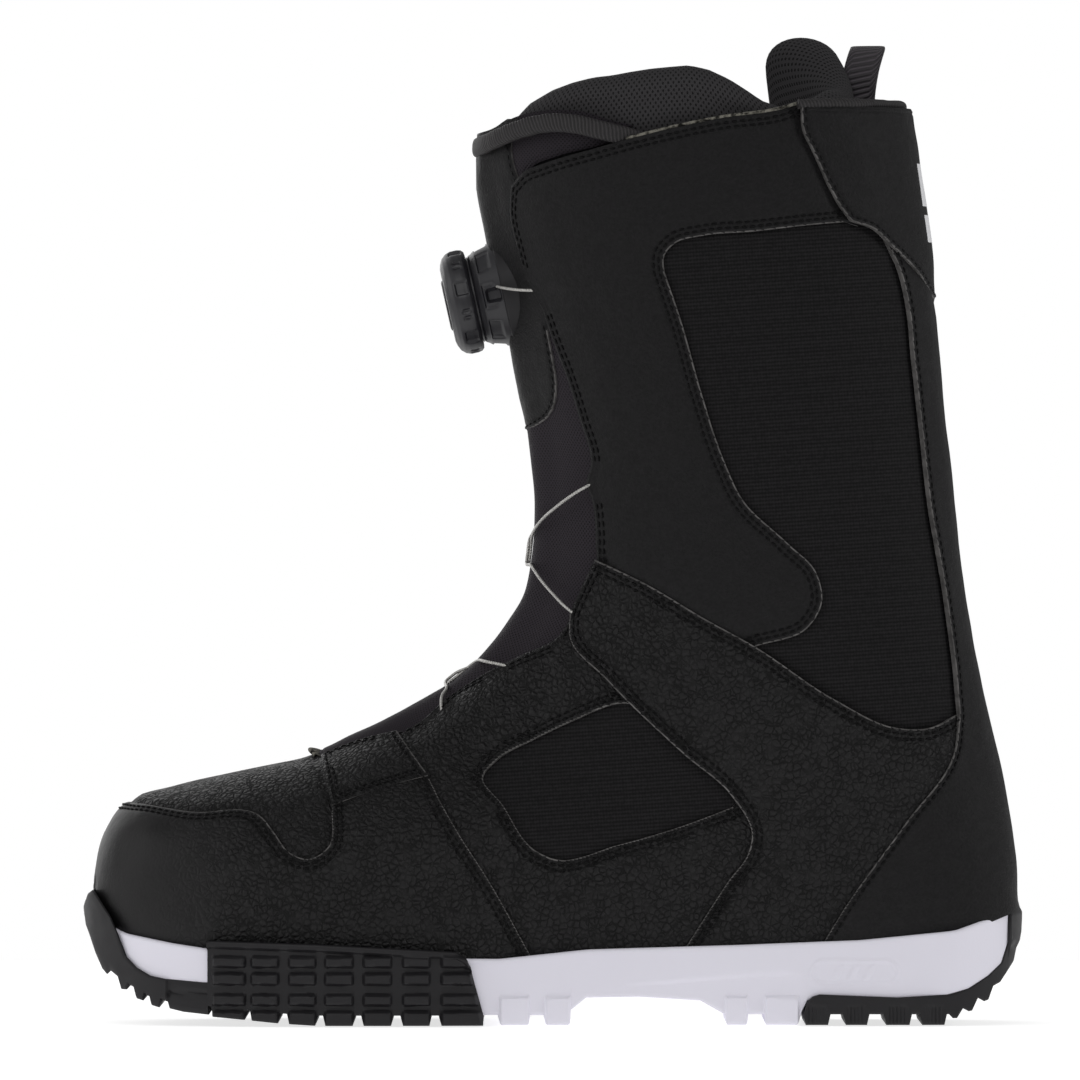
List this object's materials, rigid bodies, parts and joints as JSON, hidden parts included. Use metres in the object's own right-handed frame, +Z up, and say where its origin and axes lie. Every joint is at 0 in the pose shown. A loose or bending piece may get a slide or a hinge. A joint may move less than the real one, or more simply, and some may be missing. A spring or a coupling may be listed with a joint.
{
  "type": "snowboard boot",
  "caption": "Ankle-high soft snowboard boot with a dial and cord closure on a hinged tongue, a padded inner boot, a foam midsole and lugged rubber treads.",
  "frame": {"origin": "centre of the flat ground face of the middle lug of the foam midsole, half way along the boot on its centre plane", "axes": "+X towards the heel, -X towards the toe, -Y towards the wearer's outer side, +Z up"},
  "size_m": [0.308, 0.1157, 0.3238],
  "materials": {
    "smooth_leather": "matt",
    "grained_leather": "pebbled",
    "ripstop": "fine ribbed",
    "tongue_mesh": "mesh",
    "webbing": "ribbed",
    "dark_plastic": "satin",
    "liner_mesh": "spacer mesh",
    "white_foam": "matt foam",
    "black_rubber": "matt",
    "lace_steel": "braided",
    "steel": "satin"
  },
  "bodies": {
    "shell": {"toe_cap": "smooth_leather", "vamp": "grained_leather", "vamp_wing_lateral": "grained_leather", "vamp_wing_medial": "grained_leather", "quarter_front_lateral": "grained_leather", "quarter_front_medial": "grained_leather", "side_window_lateral": "ripstop", "side_window_medial": "ripstop", "quarter_rear_lateral": "grained_leather", "quarter_rear_medial": "grained_leather", "heel_counter": "smooth_leather", "cuff_lateral": "smooth_leather", "cuff_medial": "smooth_leather", "cuff_window_lateral": "ripstop", "cuff_window_medial": "ripstop", "backstay": "smooth_leather", "collar_back": "smooth_leather", "collar_piping": "webbing", "tongue_base": "tongue_mesh", "heel_stiffener": "dark_plastic", "toe_stiffener": "dark_plastic", "lace_guide_lateral": "webbing", "lace_guide_medial": "webbing", "instep_guide_lateral": "webbing", "instep_guide_medial": "webbing", "lace_lateral_run": "lace_steel", "lace_medial_run": "lace_steel", "liner_boot": "liner_mesh", "liner_collar_pad": "liner_mesh", "footbed": "liner_mesh", "lasting_board": "dark_plastic", "midsole": "white_foam", "toe_outsole": "black_rubber", "forefoot_outsole": "black_rubber", "heel_outsole": "black_rubber"},
    "tongue": {"tongue_shield": "smooth_leather", "tongue_mesh": "tongue_mesh", "tongue_binding": "webbing", "dial_base": "dark_plastic", "dial_housing": "dark_plastic"},
    "spool": {"lace_spool": "dark_plastic"},
    "knob": {"knob_cap": "dark_plastic", "knob_grip": "black_rubber", "pawl_disc": "dark_plastic", "axle_screw": "steel", "axle_bushing": "dark_plastic"},
    "liner_tongue": {"liner_tongue": "liner_mesh"},
    "pull_loop": {"pull_loop": "webbing"}
  },
  "joints": [
    {"name": "tongue_open", "type": "hinge", "parent": "shell", "child": "tongue", "pos_m": [-0.024, 0, 0.123], "axis": [0, -1, 0], "range_deg": [0, 18], "deforming": ["lace_lateral_run", "lace_medial_run"]},
    {"name": "liner_tongue_open", "type": "hinge", "parent": "shell", "child": "liner_tongue", "pos_m": [-0.024, 0, 0.123], "axis": [0, -1, 0], "range_deg": [0, 14]},
    {"name": "knob_spin", "type": "hinge", "parent": "tongue", "child": "spool", "pos_m": [-0.016, 0, 0.2395], "axis": [-0.9763, 0, -0.2164], "continuous": true},
    {"name": "knob_pull", "type": "slide", "parent": "spool", "child": "knob", "axis": [-0.9763, 0, -0.2164], "range_m": [0, 0.004]},
    {"name": "pull_loop_flop", "type": "hinge", "parent": "shell", "child": "pull_loop", "pos_m": [0.105, 0, 0.304], "axis": [0, 1, 0], "range_deg": [0, 30]}
  ],
  "couplings": [
    {"joint": "liner_tongue_open", "follows": "tongue_open", "ratio": 0.7}
  ]
}
